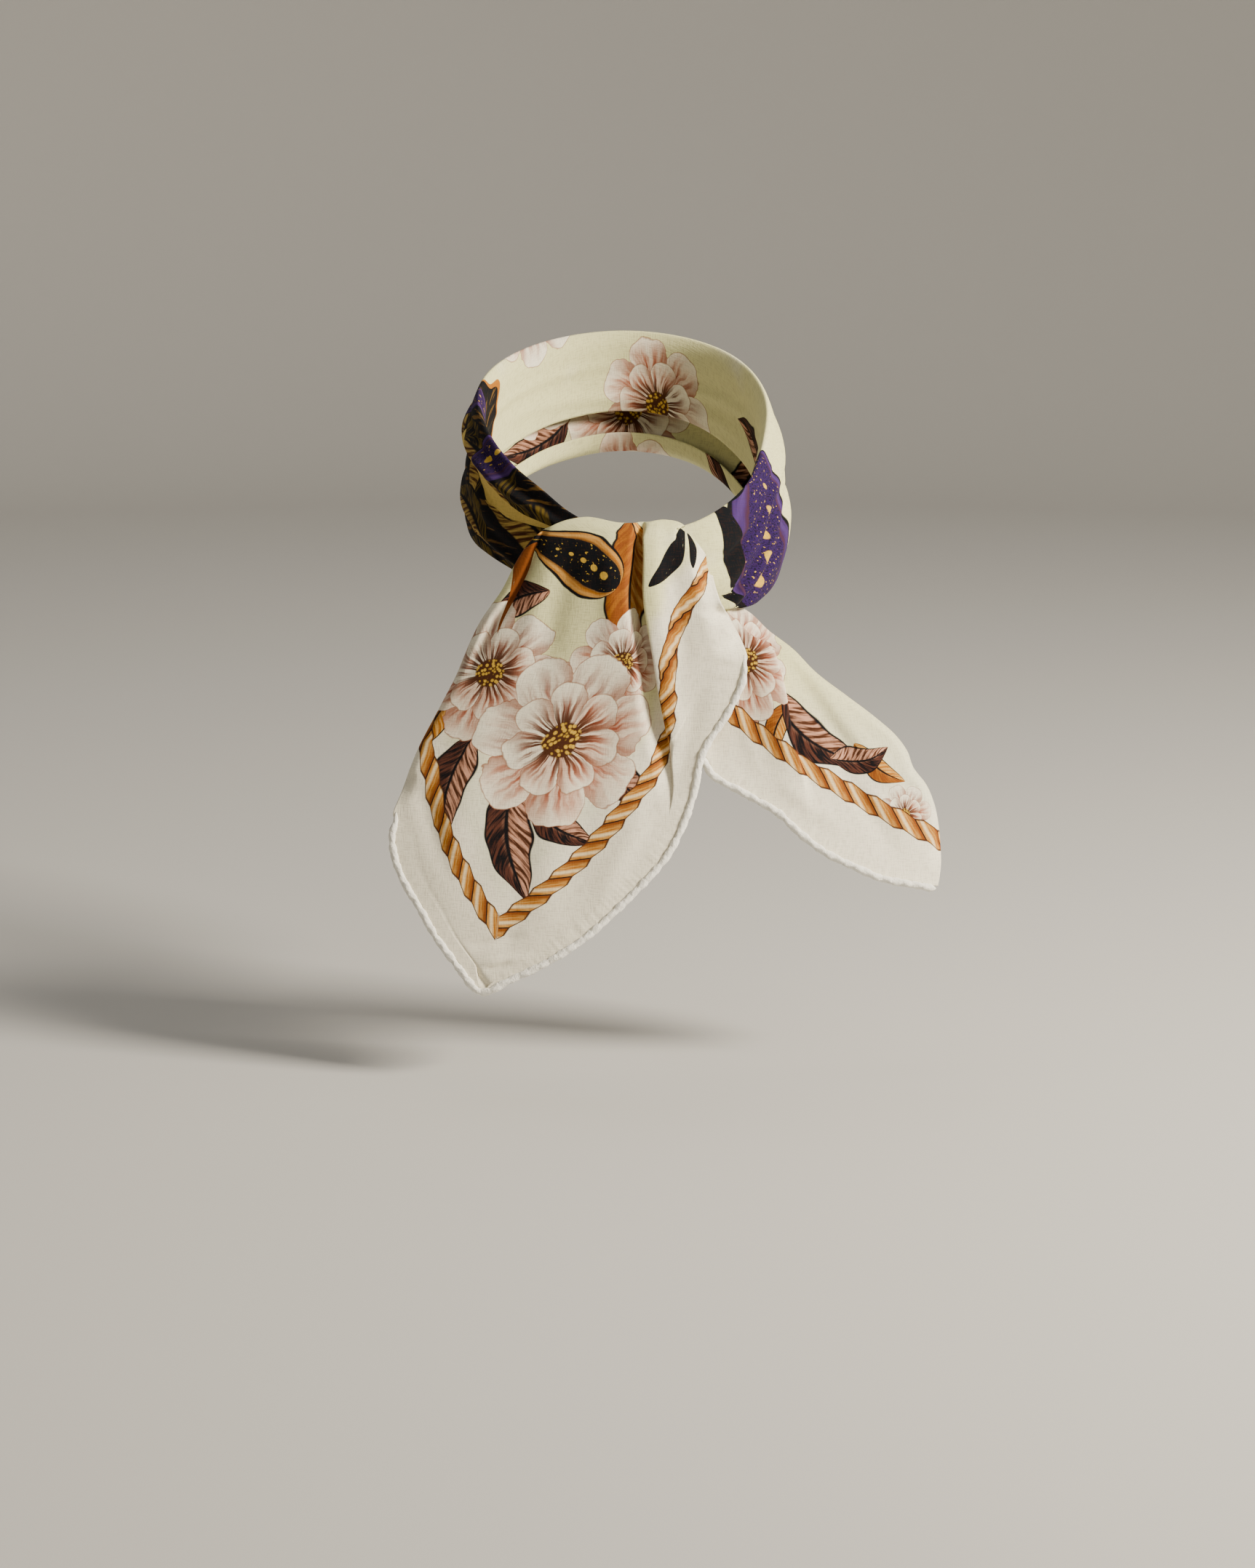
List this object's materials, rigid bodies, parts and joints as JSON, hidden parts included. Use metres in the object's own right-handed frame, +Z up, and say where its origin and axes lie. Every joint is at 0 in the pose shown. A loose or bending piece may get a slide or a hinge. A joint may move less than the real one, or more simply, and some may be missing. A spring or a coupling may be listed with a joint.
{
  "type": "cotton neck scarf",
  "caption": "Small square cotton scarf folded into a band, wound once round the neck, with a wide pleated end in front and an under end to the side.",
  "frame": {"origin": "on the axis of the neck opening, level with the top edge of the tie in front", "axes": "+X to the right as seen from the front, -Y to the front, +Z up"},
  "size_m": [0.2208, 0.1846, 0.2469],
  "materials": {
    "right_band": "matte printed cotton voile",
    "nape_band": "matte printed cotton voile",
    "left_band": "matte printed cotton voile",
    "tie_riser": "matte printed cotton voile",
    "tie_front": "matte printed cotton voile",
    "wide_end": "matte printed cotton voile",
    "wide_end_hem": "matte white hand-rolled cotton",
    "under_end": "matte printed cotton voile",
    "under_end_hem": "matte white hand-rolled cotton"
  },
  "bodies": {
    "root": {"right_band": "right_band", "nape_band": "nape_band", "left_band": "left_band", "tie_riser": "tie_riser", "tie_front": "tie_front", "wide_end": "wide_end", "wide_end_hem": "wide_end_hem", "under_end": "under_end", "under_end_hem": "under_end_hem"}
  },
  "joints": []
}
